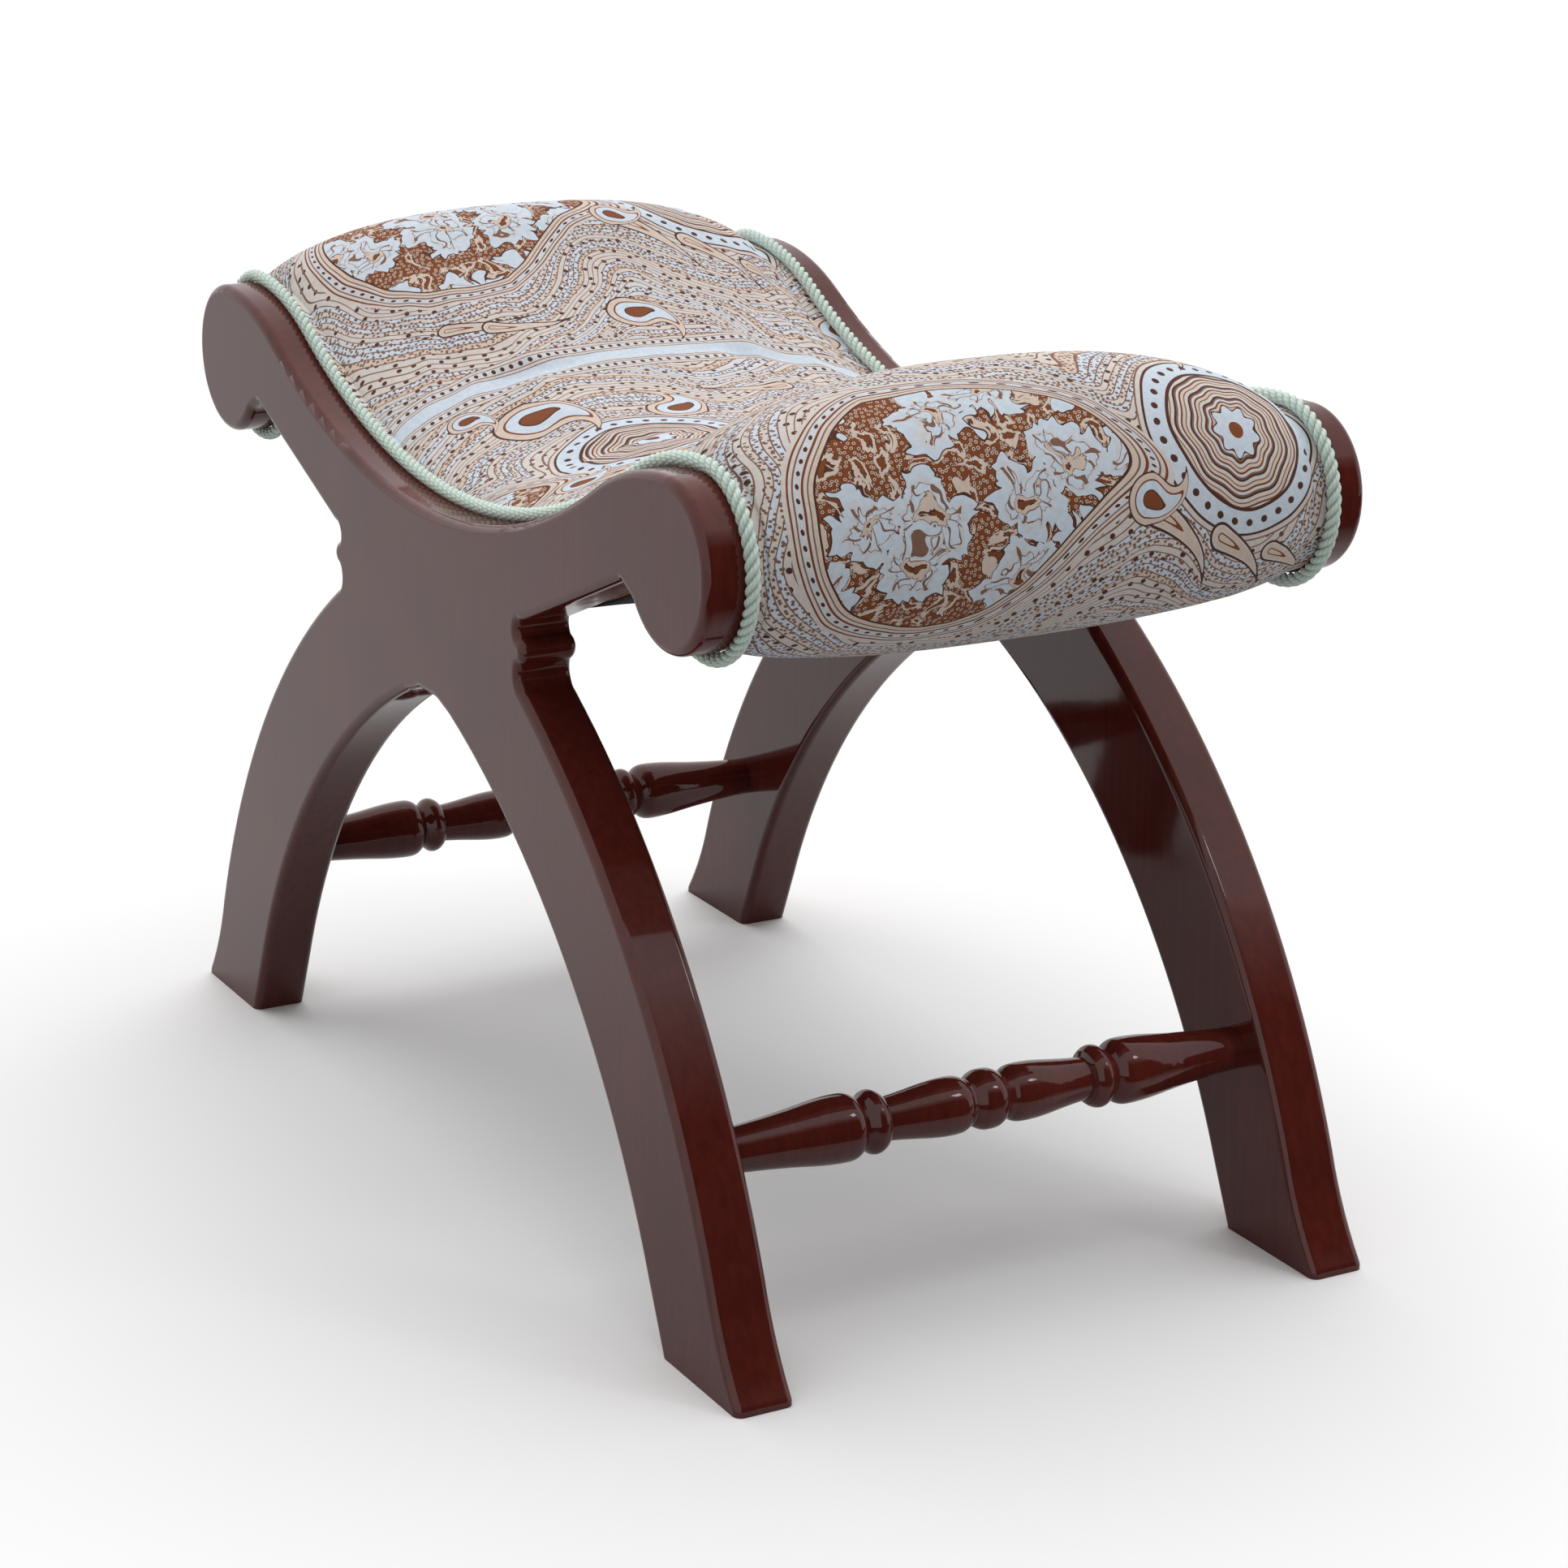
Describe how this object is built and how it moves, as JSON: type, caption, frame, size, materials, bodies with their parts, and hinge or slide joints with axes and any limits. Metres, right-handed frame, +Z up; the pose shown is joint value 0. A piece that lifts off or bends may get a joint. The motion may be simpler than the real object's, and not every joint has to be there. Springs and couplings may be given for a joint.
{
  "type": "camel saddle stool",
  "caption": "Low stool with a dished, upholstered saddle seat held between two frames of crossed curved legs, joined by turned stretchers and edged with twisted rope.",
  "frame": {"origin": "on the floor at the middle of the footprint", "axes": "+Z up, X along the saddle's curve, Y along the stretchers, near frame at -Y"},
  "size_m": [0.6, 0.312, 0.405],
  "materials": {
    "lacquered_hardwood": "dark red-brown stain under gloss lacquer",
    "plain_hardwood": "planed, unfinished",
    "printed_cotton": "woven cotton with a paisley print",
    "cotton_felt_stuffing": "matted cotton felt",
    "twisted_rope": "three-strand satin cord",
    "black_cambric": "non-woven dust cloth",
    "zinc_steel": "zinc plated"
  },
  "bodies": {
    "root": {"dust_cover": "black_cambric", "far_frame_dowels": "plain_hardwood", "far_ledger_screws": "zinc_steel", "far_left_leg": "lacquered_hardwood", "far_right_leg": "lacquered_hardwood", "far_rope_trim": "twisted_rope", "far_seat_ledger": "plain_hardwood", "far_top_rail": "lacquered_hardwood", "left_roll_core": "plain_hardwood", "left_roll_stuffing": "cotton_felt_stuffing", "left_stretcher": "lacquered_hardwood", "near_frame_dowels": "plain_hardwood", "near_ledger_screws": "zinc_steel", "near_left_leg": "lacquered_hardwood", "near_right_leg": "lacquered_hardwood", "near_rope_trim": "twisted_rope", "near_seat_ledger": "plain_hardwood", "near_top_rail": "lacquered_hardwood", "right_roll_core": "plain_hardwood", "right_roll_stuffing": "cotton_felt_stuffing", "right_stretcher": "lacquered_hardwood", "seat_cover": "printed_cotton", "seat_pad": "cotton_felt_stuffing", "seat_slat_1": "plain_hardwood", "seat_slat_2": "plain_hardwood", "seat_slat_3": "plain_hardwood", "seat_slat_4": "plain_hardwood", "seat_slat_5": "plain_hardwood", "seat_slat_6": "plain_hardwood", "seat_slat_7": "plain_hardwood", "seat_slat_8": "plain_hardwood", "seat_slat_9": "plain_hardwood", "slat_screws": "zinc_steel"}
  },
  "joints": []
}
